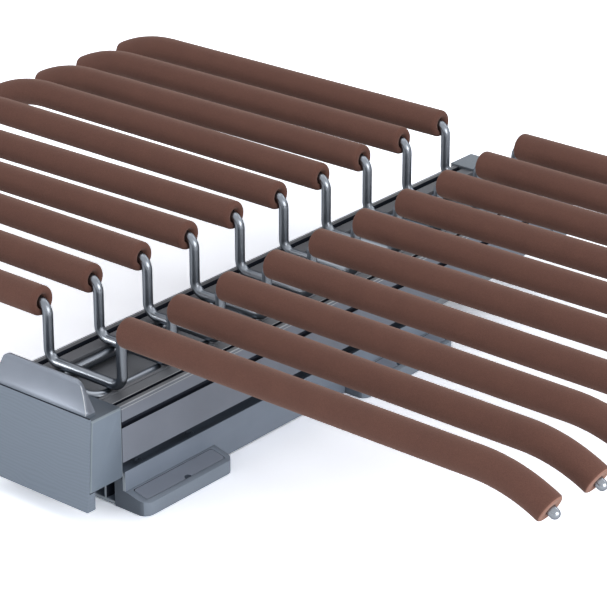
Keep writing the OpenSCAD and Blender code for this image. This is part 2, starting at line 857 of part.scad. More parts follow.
// handle lip with a hollow front, thinner towards its top
module handle_lip()
    difference() {
        along_y(panel_top_y, lip_foot_y - panel_top_y)
            lip_outline();
        along_x(-deck_w, 2 * deck_w)
            polygon([[-cast_t, panel_bottom_z], [rim_y(panel_bottom_z), panel_bottom_z],
                [rim_y(panel_top_z + panel_gap), panel_top_z + panel_gap],
                [-cast_t, panel_top_z + panel_gap]]);
        along_x(-deck_w, 2 * deck_w)
            polygon([[lip_foot_y, block_top_z], [lip_top_y + lip_top_t, lip_top_z],
                [lip_top_y + lip_top_t, lip_top_z + cast_t], [deck_front_y, lip_top_z + cast_t],
                [deck_front_y, block_top_z]]);
        rod_x_dir(-deck_w, lip_top_y - lip_hollow_r, lip_top_z + lip_hollow_up, lip_hollow_r,
            2 * deck_w);
    }

// rim of the cap that frames the rear of the panel
module panel_rim()
    difference() {
        along_x(-half_w, deck_w)
            polygon([[plate_y + cast_t, block_bottom_z], [rim_y(block_bottom_z), block_bottom_z],
                [rim_y(block_top_z), block_top_z], [plate_y + cast_t, block_top_z]]);
        box(cheek_t - half_w, -deck_front_y, block_bottom_z - cast_t, half_w - cheek_t,
            plate_y, block_top_z - cast_t);
    }

module front_cap()
    color("lightslategray")
        difference() {
            union() {
                difference() {
                    box(-half_w, plate_y, block_bottom_z, half_w, deck_front_y, block_top_z);
                    box(cast_t - half_w, plate_y + cast_t, block_bottom_z + cast_t,
                        half_w - cast_t, deck_front_y + cast_t, block_top_z - cast_t);
                }
                box(-recess_half - cast_t, deck_front_y - cast_t, recess_z - cast_t,
                    recess_half + cast_t, deck_front_y, block_top_z);
                panel_rim();
                both_sides() {
                    cap_tube(channel_up_x, channel_up_z);
                    cap_tube(channel_low_x, channel_low_z);
                }
                handle_lip();
            }
            both_sides() {
                cap_tube_bore(channel_up_x, channel_up_z);
                cap_tube_bore(channel_low_x, channel_low_z);
                rod_y(panel_peg_x, plate_y - cast_t, channel_low_z, panel_peg_r + screw_play,
                    3 * cast_t);
            }
        }

// leaning panel, thick below the cap and thin at its edges beside it
module face_panel() {
    body_half = half_w - cheek_t - panel_gap;
    body_top_z = block_top_z - cast_t - panel_gap;
    foot_z = block_bottom_z - panel_gap;
    color("slategray") {
        along_x(-half_w, deck_w)
            polygon([[plate_y, panel_bottom_z], [-panel_lean, panel_bottom_z],
                [panel_top_y, panel_top_z], [panel_top_y + sheet_t, panel_top_z],
                [panel_y(foot_z) + sheet_t, foot_z], [plate_y, foot_z]]);
        along_x(-body_half, 2 * body_half)
            polygon([[plate_y, panel_bottom_z], [-panel_lean, panel_bottom_z],
                [panel_y(body_top_z), body_top_z], [plate_y, body_top_z]]);
        both_sides()
            rod_y(panel_peg_x, plate_y - cast_t / 2, channel_low_z, panel_peg_r, 3 / 2 * cast_t);
    }
}

// rear cap

module rear_tube(x, z)
    rod_y(x, deck_rear_y, z, head_hole_r + cast_t / 2, rear_cap_l);

module rear_tube_bore(x, z) {
    rod_y(x, deck_rear_y - cast_t, z, screw_hole_r, rear_cap_l + 2 * cast_t);
    rod_y(x, rear_end_y - screw_head_h, z, head_hole_r, screw_head_h + cast_t);
}

module rear_cap()
    color("lightslategray")
        difference() {
            union() {
                difference() {
                    box(-rear_out_half, deck_rear_y, side_bottom_z, rear_out_half, rear_end_y,
                        rear_out_z);
                    box(cast_t - rear_out_half, deck_rear_y - cast_t, side_bottom_z + cast_t,
                        rear_out_half - cast_t, rear_end_y - rear_wall_t, rear_out_z - cast_t);
                }
                both_sides() {
                    box(rear_open_half, deck_rear_y, side_bottom_z, rear_open_half + cast_t / 2,
                        rear_end_y, rear_open_z);
                    rear_tube(channel_up_x, channel_up_z);
                    rear_tube(channel_low_x, channel_low_z);
                }
                box(-rear_out_half, deck_rear_y, rear_open_z, rear_out_half, rear_end_y,
                    rear_open_z + cast_t / 2);
            }
            box(-rear_open_half, deck_rear_y - cast_t, side_bottom_z - cast_t, rear_open_half,
                rear_end_y + cast_t, rear_open_z);
            both_sides() {
                rear_tube_bore(channel_up_x, channel_up_z);
                rear_tube_bore(channel_low_x, channel_low_z);
            }
        }

// fixed rail

module rail_half() {
    patch(0, rail_bottom_z, floor_edge_x, rail_floor_z);
    patch(web_x, rail_bottom_z, web_x + web_t, web_top_z);
    patch(web_x, rail_side_top_z - bridge_t, half_w, rail_side_top_z);
    patch(rail_side_x, rail_bottom_z, half_w, rail_side_top_z);
}

module foot_notch(y, length)
    box(floor_edge_x, y - leg_gap, rail_bottom_z - leg_gap, foot_x, y + length + leg_gap,
        notch_top_z);

module fixed_rail()
    color("slategray")
        difference() {
            along_y(rail_front_y, rail_l)
                both_sides()
                    rail_half();
            both_sides() {
                foot_notch(foot_front_y, foot_front_l);
                foot_notch(foot_rear_y, foot_rear_l);
                for (y = outer_screw_places)
                    rod_x_dir(web_x - web_t, y, outer_screw_z, screw_hole_r, 3 * web_t);
                for (f = foot_screw_ends)
                    for (y = [f[0] + mount_end, f[0] + f[1] - mount_end])
                        translate([leg_mid_x, y, rail_side_top_z]) {
                            translate([0, 0, -2 * bridge_t])
                                cylinder(r = foot_screw_r + screw_play, h = 3 * bridge_t);
                            translate([0, 0, -foot_head_h])
                                cylinder(r = foot_head_r + screw_play, h = 2 * foot_head_h);
                        }
            }
        }

// mounting feet

// flat body with two round outer corners, seen from above
module foot_plan(length, inset) {
    r = foot_corner_r;
    far_x = foot_x - inset;
    patch(leg_mid_x, inset, far_x - r, length - inset);
    patch(leg_mid_x, r, far_x, length - r);
    translate([far_x - r, inset + r])
        circle(r = r);
    translate([far_x - r, length - inset - r])
        circle(r = r);
}

// turns what lies level at the rail's side into the slope of the foot's top
module on_slope()
    translate([half_w, 0, foot_in_h])
        rotate([0, foot_slope, 0])
            children();

module cover_plan(length, play) {
    r = cover_r;
    x0 = cover_in - play;
    x1 = cover_in + cover_w + play;
    y0 = cover_end - play;
    y1 = length - cover_rear_end + play;
    patch(x0 + r, y0, x1 - r, y1);
    patch(x0, y0 + r, x1, y1 - r);
    for (x = [x0 + r, x1 - r])
        for (y = [y0 + r, y1 - r])
            translate([x, y])
                circle(r = r);
}

module foot(length) {
    mount_x = half_w + cover_in + cover_w / 2;
    color("slategray")
        difference() {
            union() {
                box(leg_in_x, 0, 0, leg_out_x, length, leg_top_z);
                linear_extrude(height = foot_in_h)
                    foot_plan(length, 0);
            }
            on_slope()
                box(0, -length, 0, 2 * foot_x, 2 * length, foot_in_h);
            on_slope()
                translate([0, 0, -cover_t])
                    linear_extrude(height = 2 * cover_t)
                        cover_plan(length, cover_gap);
            box(half_w + cover_in + pocket_rim, cover_end + pocket_rim, pocket_floor,
                half_w + cover_in + cover_w - pocket_rim, length - cover_rear_end - pocket_rim,
                leg_top_z);
            for (y = [mount_end, length - mount_end]) {
                translate([mount_x, y, -pocket_floor])
                    cylinder(r = mount_hole_r, h = 3 * pocket_floor);
                translate([leg_mid_x, y, rail_side_top_z - foot_head_h - foot_screw_l - screw_play])
                    cylinder(r = foot_screw_r + screw_play, h = foot_screw_l);
            }
        }
}

module cover(length) {
    mount_x = cover_in + cover_w / 2;
    color("slategray")
        on_slope()
            difference() {
                union() {
                    translate([0, 0, -cover_t])
                        linear_extrude(height = cover_t)
                            cover_plan(length, 0);
                    for (y = [peg_end, length - peg_end])
                        translate([mount_x, y, -2 * cover_t])
                            cylinder(r = peg_r, h = cover_t);
                }
                translate([cover_in + cover_w, notch_y, -notch_depth])
                    cylinder(r = notch_r, h = 2 * notch_depth);
            }
}

module foot_front_right()
    translate([0, foot_front_y, 0])
        foot(foot_front_l);

module foot_front_left()
    mirror([1, 0, 0])
        foot_front_right();

module foot_rear_right()
    translate([0, foot_rear_y, 0])
        foot(foot_rear_l);

module foot_rear_left()
    mirror([1, 0, 0])
        foot_rear_right();

module cover_front_right()
    translate([0, foot_front_y, 0])
        cover(foot_front_l);

module cover_front_left()
    mirror([1, 0, 0])
        cover_front_right();

module cover_rear_right()
    translate([0, foot_rear_y, 0])
        cover(foot_rear_l);

module cover_rear_left()
    mirror([1, 0, 0])
        cover_rear_right();

// damper, striker and pads

module striker()
    color("dimgray")
        difference() {
            box(-striker_half, striker_y, damper_z - damper_button_r, striker_half,
                striker_y + striker_l, recess_z - recess_t);
            both_sides()
                translate([striker_half / 2, striker_y + striker_l / 2, recess_z - 4 * recess_t])
                    cylinder(r = screw_hole_r, h = 4 * recess_t);
        }

module damper_cylinder()
    color("gray")
        difference() {
            rod_y(0, damper_y, damper_z, damper_r, damper_l);
            rod_y(0, damper_y - cast_t, damper_z, damper_rod_r + stop_gap, damper_l);
        }

module damper_rod()
    color("silver") {
        rod_y(0, damper_y - damper_rod_l, damper_z, damper_rod_r, damper_l / 2 + damper_rod_l);
        rod_y(0, damper_y - damper_rod_l - damper_button_l, damper_z, damper_button_r,
            damper_button_l);
    }

module damper_clips()
    color("dimgray")
        for (y = [damper_y + clip_l, damper_y + damper_l - 2 * clip_l])
            difference() {
                box(-clip_half, y, rail_floor_z, clip_half, y + clip_l, damper_z + damper_r / 2);
                rod_y(0, y - clip_l, damper_z, damper_r + stop_gap, 3 * clip_l);
            }

module stop_pads() {
    pad_x = (web_x + half_w) / 2;
    color("black")
        both_sides()
            box(pad_x - pad_half, rail_front_y - pad_t, rail_side_top_z - bridge_t,
                pad_x + pad_half, rail_front_y, rail_side_top_z);
}

module wire_at(i)
    arm_wire(first_wire_y + (i - 1) * arm_pitch);

module sleeves_at(i)
    arm_sleeves(first_wire_y + (i - 1) * arm_pitch);

from_fixing() carriage_deck();
from_fixing() front_cap();
from_fixing() face_panel();
from_fixing() rear_cap();
from_fixing() welded_loop();
from_fixing() rod_holders();
from_fixing() wire_at(1);  // wire_1
from_fixing() wire_at(2);  // wire_2
from_fixing() wire_at(3);  // wire_3
from_fixing() wire_at(4);  // wire_4
from_fixing() wire_at(5);  // wire_5
from_fixing() wire_at(6);  // wire_6
from_fixing() wire_at(7);  // wire_7
from_fixing() wire_at(8);  // wire_8
from_fixing() wire_at(9);  // wire_9
from_fixing() wire_at(10);  // wire_10
from_fixing() sleeves_at(1);  // sleeves_1
from_fixing() sleeves_at(2);  // sleeves_2
from_fixing() sleeves_at(3);  // sleeves_3
from_fixing() sleeves_at(4);  // sleeves_4
from_fixing() sleeves_at(5);  // sleeves_5
from_fixing() sleeves_at(6);  // sleeves_6
from_fixing() sleeves_at(7);  // sleeves_7
from_fixing() sleeves_at(8);  // sleeves_8
from_fixing() sleeves_at(9);  // sleeves_9
from_fixing() sleeves_at(10);  // sleeves_10
from_fixing() inner_member_left();
from_fixing() inner_member_right();
from_fixing() striker();
from_fixing() cap_screws();
from_fixing() inner_screws();
from_fixing() middle_member_left();
from_fixing() middle_member_right();
from_fixing() outer_cages();
from_fixing() outer_balls();
from_fixing() inner_cages();
from_fixing() inner_balls();
from_fixing() fixed_rail();
from_fixing() outer_member_left();
from_fixing() outer_member_right();
from_fixing() outer_screws();
from_fixing() foot_front_left();
from_fixing() foot_front_right();
from_fixing() foot_rear_left();
from_fixing() foot_rear_right();
from_fixing() cover_front_left();
from_fixing() cover_front_right();
from_fixing() cover_rear_left();
from_fixing() cover_rear_right();
from_fixing() foot_screws();
from_fixing() damper_cylinder();
from_fixing() damper_rod();
from_fixing() damper_clips();
from_fixing() stop_pads();
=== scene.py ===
"""A pull out trouser rack: sleeved arms on bent wires, a sliding deck and a fixed rail on feet."""

import math

import bmesh
import bpy
from mathutils import Matrix, Vector


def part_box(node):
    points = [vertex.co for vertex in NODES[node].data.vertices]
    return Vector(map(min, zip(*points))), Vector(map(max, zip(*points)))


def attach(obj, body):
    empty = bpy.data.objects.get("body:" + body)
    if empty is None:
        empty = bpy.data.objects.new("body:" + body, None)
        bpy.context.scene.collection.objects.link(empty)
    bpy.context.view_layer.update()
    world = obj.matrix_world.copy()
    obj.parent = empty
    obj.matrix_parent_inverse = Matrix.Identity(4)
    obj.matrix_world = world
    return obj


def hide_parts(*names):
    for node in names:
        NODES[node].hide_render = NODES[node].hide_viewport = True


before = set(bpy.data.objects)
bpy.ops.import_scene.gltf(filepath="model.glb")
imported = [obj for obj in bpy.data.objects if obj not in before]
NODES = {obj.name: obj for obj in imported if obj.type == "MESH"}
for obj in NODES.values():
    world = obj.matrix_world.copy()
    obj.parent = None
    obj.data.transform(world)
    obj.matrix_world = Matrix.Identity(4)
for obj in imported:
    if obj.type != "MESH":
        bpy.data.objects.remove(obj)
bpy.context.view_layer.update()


def box_middle(node, axis):
    low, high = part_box(node)
    return (low[axis] + high[axis]) / 2


# Sizes of the rack, in metres. X runs along the arms, Y to the rear, Z up.
WIRE_COUNT = 10
WIRE_R = 0.00325
BEND_R = 0.008
POST_X = 0.0304
ARM_STRAIGHT_X = 0.2906
TIP_CURVE_R = 0.103
TIP_ANGLE = math.radians(30)
TIP_BARE_L = 0.003
WIRE_YS = [box_middle(f"wire_{i}", 1) for i in range(1, WIRE_COUNT + 1)]
BAR_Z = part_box("wire_1")[0][2] + WIRE_R
ARM_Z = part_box("wire_1")[1][2] - WIRE_R
# How far each wire's left and right arm hangs below level, in degrees, front wire first.
ARM_LEANS = [(0, 0), (0, 0.2), (0.14, 0.15), (0.83, 0.18), (0.89, -0.27), (0.33, -0.29),
             (0.26, -0.3), (0.61, -0.3), (0.64, -0.2), (0.65, -0.2)]
# How far under the sleeve's end the polish of the wire's end starts.
POLISH_OVERLAP = 0.001
TUBE_SEGMENTS = 20
WIRE_BEND_STEPS = 10
LOOP_BEND_STEPS = 8
TIP_CURVE_STEPS = 16
DOME_STEPS = 6

# The sleeves. Their inner ends are rounded and have a wide mouth, their outer ends are cut.
SLEEVE_R = 0.0095
SLEEVE_BORE_R = 0.0034
SLEEVE_MOUTH_R = 0.0046
SLEEVE_MOUTH_L = 0.004
SLEEVE_MOUTH_FLARE = 0.0008
SLEEVE_MOUTH_FLARE_L = 0.0016
SLEEVE_MOUTH_TAPER_L = 0.001
SLEEVE_BREAK = 0.0006
SLEEVE_INNER_ROUND = 0.0026
SLEEVE_OUTER_ROUND = 0.0016
SLEEVE_CUT_DEPTH = 0.0007
SLEEVE_CLEARANCE = 0.0002
SLEEVE_START_X = POST_X + WIRE_R + SLEEVE_CLEARANCE
SLEEVE_ANGLE = TIP_ANGLE - TIP_BARE_L / TIP_CURVE_R
SLEEVE_SEGMENTS = 40
SLEEVE_STRAIGHT_STEPS = 60
ROUND_STEPS = 6

# Where faces of another material lie, as limits: least X and Z, most X and Z. A least X of -1
# takes in the middle too. All but LIP pick faces that get painted shade: darker tops, and
# near black or dark blue grey in grooves, chambers, webs and gaps.
DECK_GROOVES = [(0.0408, 0.0549, 0.04395, 0.0597), (0.0346, 0.0640, 0.0387, 0.0679)]
DECK_SHADED_TOP = [(-1, 0.0550, 0.0415, 0.0700)]
CAP_SHADED_TOP = [(-1, 0.0600, 0.0425, 0.0716)]
LIP = [(-1, 0.0716, 0.0440, 0.0920)]
RAIL_WEBS = [(0.0270, 0.0259, 0.0437, 0.0515)]
RAIL_BRIDGES = [(0.0270, 0.0256, 0.0437, 0.0259)]
RAIL_CHAMBERS = [(0.0279, 0.0031, 0.0418, 0.0236)]
# Where the pry notch lies behind the front of a cover, and how far its faces reach. These faces,
# and the foot's faces round a cover, get painted shade.
NOTCH_FROM_END = 0.0368
NOTCH_REACH = 0.0031
COVER_SEAM = 0.0006
# The least share of a face's normal that counts as looking along an axis.
STRAIGHT = 0.99
UPWARDS = 0.9
FORWARDS = 0.85

# The deck's edges with a painted highlight: distance from its middle and width, and what tells
# their edges.
DECK_LINES = [(0.0348, 0.0003), (0.0418, 0.0005), (0.0440, 0.0003)]
DECK_LINES_Z = 0.0665
LONG_EDGE = 0.05
LINE_TOLERANCE = 0.0002
# Where the front cap's side edges and the handle lip's side edges lie, and their widths. Their
# roundings get a painted highlight.
CAP_SIDE_X = 0.0438
CAP_SIDE_TOP = 0.0685
CAP_SIDE_REAR = -0.1542
CAP_SIDE_FRONT = -0.1788
CAP_EDGE_W = 0.0011
LIP_FOOT_X = 0.0392
LIP_FOOT_Z = 0.0712
LIP_SIDE_SLOPE = 0.429
LIP_REAR_Y = -0.1733
LIP_EDGE_W = 0.0003

# How the softened copies are made, and how wide their rounded edges are.
CAST_EDGE_W = 0.0005
RAIL_EDGE_W = 0.0003
COVER_EDGE_W = 0.0002
MERGE_DISTANCE = 1e-6
FLAT_ANGLE = math.radians(0.5)
SHARP_ANGLE = math.radians(30)
BEVEL_SEGMENTS = 2

# Most of the noise lies between these.
NOISE_LOW = 0.3
NOISE_HIGH = 0.7

# How bright the sky is near the horizon and overhead for the light, and what the eye sees of it.
HORIZON_LEVEL = 0.85
ZENITH_LEVEL = 0.25
EYE_LEVEL = 1.06
SKY_COLOUR = (0.95, 0.97, 1.0, 1)
# The floor's colour for the light and for the eye, and how much of the second a mirror shows.
FLOOR_COLOUR = (0.80, 0.81, 0.82, 1)
FLOOR_EYE_COLOUR = (1.82, 1.87, 1.96)
FLOOR_MIRRORED = 0.2
FLOOR_HALF_SIZE = 8.0
# How far out the floor starts and ends getting paler, and by how much, for the eye.
FLOOR_FADE = (0.3, 1.5)
FLOOR_FAR_LIFT = 1.5

# The camera was fitted to points measured in the photograph.
CAMERA_TARGET = Vector((0.02333, 0.0378, 0.06405))
CAMERA_AWAY = Vector((0.5847, -0.6999, 0.4103)).normalized()
CAMERA_DISTANCE = 1.7748
CAMERA_LENS = 164.19
CAMERA_SENSOR = 36
CAMERA_CLIP_END = 20
# Softboxes: name, place, the point that they look at, size and power.
SOFTBOXES = [
    ("top_softbox", (-0.3, 0.2, 1.6), (0, 0.05, 0.05), (1.6, 1.2), 6),
    ("side_softbox", (1.7, -0.2, 0.6), (0, 0, 0.03), (1.4, 1.0), 22),
    ("front_softbox", (-1.0, -1.36, 0.60), (0, 0, 0.05), (0.9, 0.4), 11),
    ("back_softbox", (0.25, 1.9, 1.3), (0, 0, 0.05), (1.8, 0.35), 6),
]


# Nodes of materials and of the world

def feed(tree, socket, value):
    """Links a node's input to another socket, or sets it to a number, a colour or a vector."""
    if isinstance(value, bpy.types.NodeSocket):
        tree.links.new(value, socket)
    else:
        socket.default_value = value


def add_node(tree, kind, inputs, output=0, **settings):
    """Adds a node with its settings and inputs. Gives back the output asked for."""
    node = tree.nodes.new(f"ShaderNode{kind}")
    for name, value in settings.items():
        setattr(node, name, value)
    for key, value in inputs.items():
        feed(tree, node.inputs[key], value)
    return node.outputs[output]


def place_in(tree, space="Object"):
    """Where a point lies, in the object's own metres or in another space."""
    return add_node(tree, "TexCoord", {}, space)


def height_in(tree, space="Object"):
    return add_node(tree, "SeparateXYZ", {"Vector": place_in(tree, space)}, "Z")


def map_range(tree, value, **limits):
    """Numbers between to_min and to_max as value goes from from_min to from_max."""
    inputs = {name.replace("_", " ").title(): limit for name, limit in limits.items()}
    return add_node(tree, "MapRange", {"Value": value, **inputs}, "Result")


def mix_colours(tree, factor, one, two, blend="MIX"):
    return add_node(tree, "Mix", {"Factor": factor, "A": one, "B": two}, "Result",
                    data_type="RGBA", blend_type=blend)


def noise(tree, scale, detail=3.0, stretch=None):
    """Noise laid out in the object's own metres, so it keeps its real size.

    scale is how often it changes in a metre, and stretch multiplies that along each axis.
    """
    place = place_in(tree)
    if stretch:
        place = add_node(tree, "Mapping", {"Vector": place, "Scale": stretch})
    return add_node(tree, "TexNoise", {"Vector": place, "Scale": scale, "Detail": detail}, "Fac")


def ramp_between(tree, fac, low, high, start=NOISE_LOW, end=NOISE_HIGH):
    """Colours between low and high as fac goes from start to end."""
    ramp = tree.nodes.new("ShaderNodeValToRGB")
    for element, position, colour in zip(ramp.color_ramp.elements, (start, end), (low, high)):
        element.position = position
        element.color = (*colour, 1)
    feed(tree, ramp.inputs["Fac"], fac)
    return ramp.outputs["Color"]


def spread(tree, fac, low, high):
    """Numbers between low and high as the noise fac goes up."""
    return map_range(tree, fac, from_min=NOISE_LOW, from_max=NOISE_HIGH,
                     to_min=low, to_max=high)


def tones(tree, fac, colour, darker, lighter):
    """Tones of a colour between a darker and a lighter one, as the noise fac goes up."""
    return ramp_between(tree, fac, [c * darker for c in colour],
                        [min(1.0, c * lighter) for c in colour])


def bump(tree, height, depth, strength=1.0, **before):
    """A bumpy normal. before can name the Normal that it goes on top of."""
    return add_node(tree, "Bump",
                    {"Height": height, "Distance": depth, "Strength": strength, **before})


def new_material(name, inputs):
    """A new material. inputs(tree) gives the inputs of its shader."""
    material = bpy.data.materials.new(name)
    material.use_nodes = True
    tree = material.node_tree
    shader = tree.nodes["Principled BSDF"]
    for key, value in inputs(tree).items():
        feed(tree, shader.inputs[key], value)
    return material


# Camera, lights and floor

def add_object(name, data):
    thing = bpy.data.objects.new(name, data)
    bpy.context.scene.collection.objects.link(thing)
    return thing


def aim(thing, along):
    """Turns a camera or a lamp so that it looks along a direction."""
    thing.rotation_euler = along.to_track_quat("-Z", "Y").to_euler()


def make_camera():
    """The photograph's own view: 40 degrees round from the front and 24 degrees above."""
    data = bpy.data.cameras.new("photo_camera")
    data.lens = CAMERA_LENS
    data.sensor_width = CAMERA_SENSOR
    data.clip_end = CAMERA_CLIP_END
    camera = add_object("photo_camera", data)
    camera.location = CAMERA_TARGET + CAMERA_AWAY * CAMERA_DISTANCE
    aim(camera, -CAMERA_AWAY)
    bpy.context.scene.camera = camera


def make_lights():
    for name, place, target, size, power in SOFTBOXES:
        data = bpy.data.lights.new(name, "AREA")
        data.shape = "RECTANGLE"
        data.size, data.size_y = size
        data.energy = power
        lamp = add_object(name, data)
        lamp.location = place
        aim(lamp, Vector(target) - Vector(place))


def seen_by_eye(tree, mirrored=1.0):
    """1 for what the camera sees or sees through glass, 0 for light on its way to the object.

    What it sees in a mirror counts for the share mirrored.
    """
    ways = tree.nodes.new("ShaderNodeLightPath").outputs
    shiny = add_node(tree, "Math", {0: ways["Is Glossy Ray"], 1: mirrored}, operation="MULTIPLY")
    seen = add_node(tree, "Math", {0: ways["Is Camera Ray"], 1: shiny}, operation="MAXIMUM")
    return add_node(tree, "Math", {0: seen, 1: ways["Is Transmission Ray"]},
                    operation="MAXIMUM")


def make_world():
    world = bpy.data.worlds.new("studio")
    bpy.context.scene.world = world
    world.use_nodes = True
    tree = world.node_tree
    tree.nodes.clear()
    level = map_range(tree, height_in(tree, "Generated"),
                      to_min=HORIZON_LEVEL, to_max=ZENITH_LEVEL)
    strength = map_range(tree, seen_by_eye(tree), to_min=level, to_max=EYE_LEVEL)
    sky = add_node(tree, "Background", {"Color": SKY_COLOUR, "Strength": strength})
    feed(tree, tree.nodes.new("ShaderNodeOutputWorld").inputs["Surface"], sky)


def floor_look(tree):
    """Pale paper for the light. The camera sees it lifted to white, with the shadow on it."""
    reach = add_node(tree, "VectorMath", {0: place_in(tree)}, "Value", operation="LENGTH")
    lift = map_range(tree, reach, from_min=FLOOR_FADE[0], from_max=FLOOR_FADE[1],
                     to_min=1.0, to_max=FLOOR_FAR_LIFT)
    white = add_node(tree, "VectorMath", {0: FLOOR_EYE_COLOUR, "Scale": lift},
                     operation="SCALE")
    return {
        "Base Color": mix_colours(tree, seen_by_eye(tree, FLOOR_MIRRORED), FLOOR_COLOUR, white),
        "Roughness": 0.9,
        "Specular IOR Level": 0.0,
    }


def make_floor():
    size = FLOOR_HALF_SIZE
    mesh = bpy.data.meshes.new("floor")
    mesh.from_pydata([(-size, -size, 0), (size, -size, 0), (size, size, 0), (-size, size, 0)],
                     [], [(0, 1, 2, 3)])
    floor = add_object("floor", mesh)
    mesh.materials.append(new_material("floor_paper", floor_look))


# Materials

def flock_material(name, low, high):
    """Brown flock: short fibres, soft sheen and faint changes of tone."""
    def look(tree):
        fibres = noise(tree, 2600, 2)
        broad = ramp_between(tree, noise(tree, 60, 4), low, high)
        fine = ramp_between(tree, fibres, (0.84, 0.84, 0.84), (1.12, 1.12, 1.12), 0.35, 0.68)
        soft = bump(tree, noise(tree, 420, 3), 0.0003, 0.6)
        return {
            "Base Color": mix_colours(tree, 1.0, broad, fine, "MULTIPLY"),
            "Roughness": 0.95,
            "Specular IOR Level": 0.15,
            "Sheen Weight": 0.22,
            "Sheen Roughness": 0.45,
            "Sheen Tint": (0.95, 0.72, 0.62, 1),
            "Normal": bump(tree, fibres, 0.00016, 0.7, Normal=soft),
        }
    return new_material(name, look)


def painted_material(name, colour, metal=0.0, roughness=0.42, gloss=0.35, grain=0.00002):
    """Satin powder coat: a fine peel and slight unevenness, with a metallic share if given."""
    def look(tree):
        return {
            "Base Color": tones(tree, noise(tree, 35, 3), colour, 0.94, 1.06),
            "Metallic": metal,
            "Specular IOR Level": gloss,
            "Roughness": spread(tree, noise(tree, 120, 2), roughness - 0.02, roughness + 0.02),
            "Normal": bump(tree, noise(tree, 2400, 2), grain),
        }
    return new_material(name, look)


def grained_look(tree):
    """The face panel's foil: fine wavy level grain with short streaks."""
    warp = noise(tree, 18, 2, (1.0, 1.0, 2.6))
    lifted = add_node(tree, "Math", {0: warp, 1: 0.012, 2: height_in(tree)},
                      operation="MULTIPLY_ADD")
    rows = add_node(tree, "CombineXYZ", {"Z": lifted})
    wave = add_node(tree, "TexWave",
                    {"Vector": rows, "Scale": 145, "Distortion": 3.0, "Detail": 3.0}, "Fac",
                    wave_type="BANDS", bands_direction="Z")
    streaks = noise(tree, 300, 3, (0.16, 1.0, 3.0))
    half = add_node(tree, "Math", {0: streaks, 1: 0.5}, operation="MULTIPLY")
    grain = add_node(tree, "Math", {0: wave, 1: 0.5, 2: half}, operation="MULTIPLY_ADD")
    return {
        "Base Color": ramp_between(tree, grain, (0.172, 0.207, 0.256), (0.189, 0.227, 0.280),
                                   0.15, 0.75),
        "Roughness": 0.5,
        "Specular IOR Level": 0.35,
        "Normal": bump(tree, grain, 0.00003, 0.6),
    }


def steel_material(name, colour, roughness, edge=(1, 1, 1)):
    """Plated steel: metallic, with small changes of tone and gloss and a tint at grazing view."""
    def look(tree):
        return {
            "Base Color": tones(tree, noise(tree, 40, 2), colour, 0.93, 1.05),
            "Metallic": 1.0,
            "Specular Tint": (*edge, 1),
            "Roughness": spread(tree, noise(tree, 60, 2), roughness - 0.02, roughness + 0.03),
        }
    return new_material(name, look)


def strip_material(name, colour):
    """Zinc-plated strip: like plated steel, with fine lines drawn along Y."""
    def look(tree):
        lines = noise(tree, 900, 3, (1.0, 0.06, 1.0))
        return {
            "Base Color": tones(tree, noise(tree, 40, 2), colour, 0.93, 1.05),
            "Metallic": 1.0,
            "Roughness": spread(tree, lines, 0.40, 0.45),
            "Normal": bump(tree, lines, 0.00002),
        }
    return new_material(name, look)


def plastic_material(name, colour, roughness=0.45):
    """Moulded plastic with a fine spark-eroded surface."""
    def look(tree):
        return {
            "Base Color": tones(tree, noise(tree, 50, 3), colour, 0.92, 1.08),
            "Roughness": spread(tree, noise(tree, 700, 2), roughness - 0.05, roughness + 0.08),
            "Normal": bump(tree, noise(tree, 3200, 2), 0.00003),
        }
    return new_material(name, look)


# Round bars

def bend(centre_u, centre_v, start, sweep, steps):
    """Points of a bend round a centre, from start on through sweep degrees."""
    turns = (math.radians(start + sweep * i / steps) for i in range(steps + 1))
    return [(centre_u + BEND_R * math.cos(a), centre_v + BEND_R * math.sin(a)) for a in turns]


def tip_curve(side, sweep):
    """Points and directions along an arm's downward curve, from its level start."""
    curve = []
    for i in range(TIP_CURVE_STEPS + 1):
        a = sweep * i / TIP_CURVE_STEPS
        curve.append((Vector((side * (ARM_STRAIGHT_X + TIP_CURVE_R * math.sin(a)), 0,
                              ARM_Z - TIP_CURVE_R * (1 - math.cos(a)))),
                      Vector((side * math.cos(a), 0, -math.sin(a)))))
    return curve


def leaning(point, side, lean):
    """Where a point of an arm goes when its arm leans by so many degrees about the upper bend.

    The lean comes up along the bend, and the post under it stays.
    """
    hinge = Vector((side * (POST_X + BEND_R), 0, ARM_Z - BEND_R))
    inwards = side * (hinge.x - point.x)
    if inwards >= 0 and lean:
        if point.z < ARM_Z - BEND_R - SLEEVE_R:
            return point
        lean = lean * max(0.0, 1 - inwards / BEND_R)
    turn = Matrix.Rotation(math.radians(side * lean), 3, "Y")
    return hinge + turn @ (point - hinge)


def wire_path(leans, y):
    """Centre line of a whole hanger wire, from the left tip to the right one."""
    bends = bend(POST_X - BEND_R, BAR_Z + BEND_R, -90, 90, WIRE_BEND_STEPS)
    bends += bend(POST_X + BEND_R, ARM_Z - BEND_R, 180, -90, WIRE_BEND_STEPS)
    right = [Vector((x, 0, z)) for x, z in bends]
    right += [p for p, _ in tip_curve(1, TIP_ANGLE)]
    left = [Vector((-p.x, 0, p.z)) for p in reversed(right)]
    path = [leaning(p, -1, leans[0]) for p in left] + [leaning(p, 1, leans[1]) for p in right]
    return [p + Vector((0, y, 0)) for p in path]


def circle(centre, a, b, radius, segments):
    """Points round a centre, in the plane of a and b."""
    turns = (2 * math.pi * k / segments for k in range(segments))
    return [centre + (a * math.cos(t) + b * math.sin(t)) * radius for t in turns]


def wire_ring(bm, centre, a, b, radius=WIRE_R):
    return [bm.verts.new(p) for p in circle(centre, a, b, radius, TUBE_SEGMENTS)]


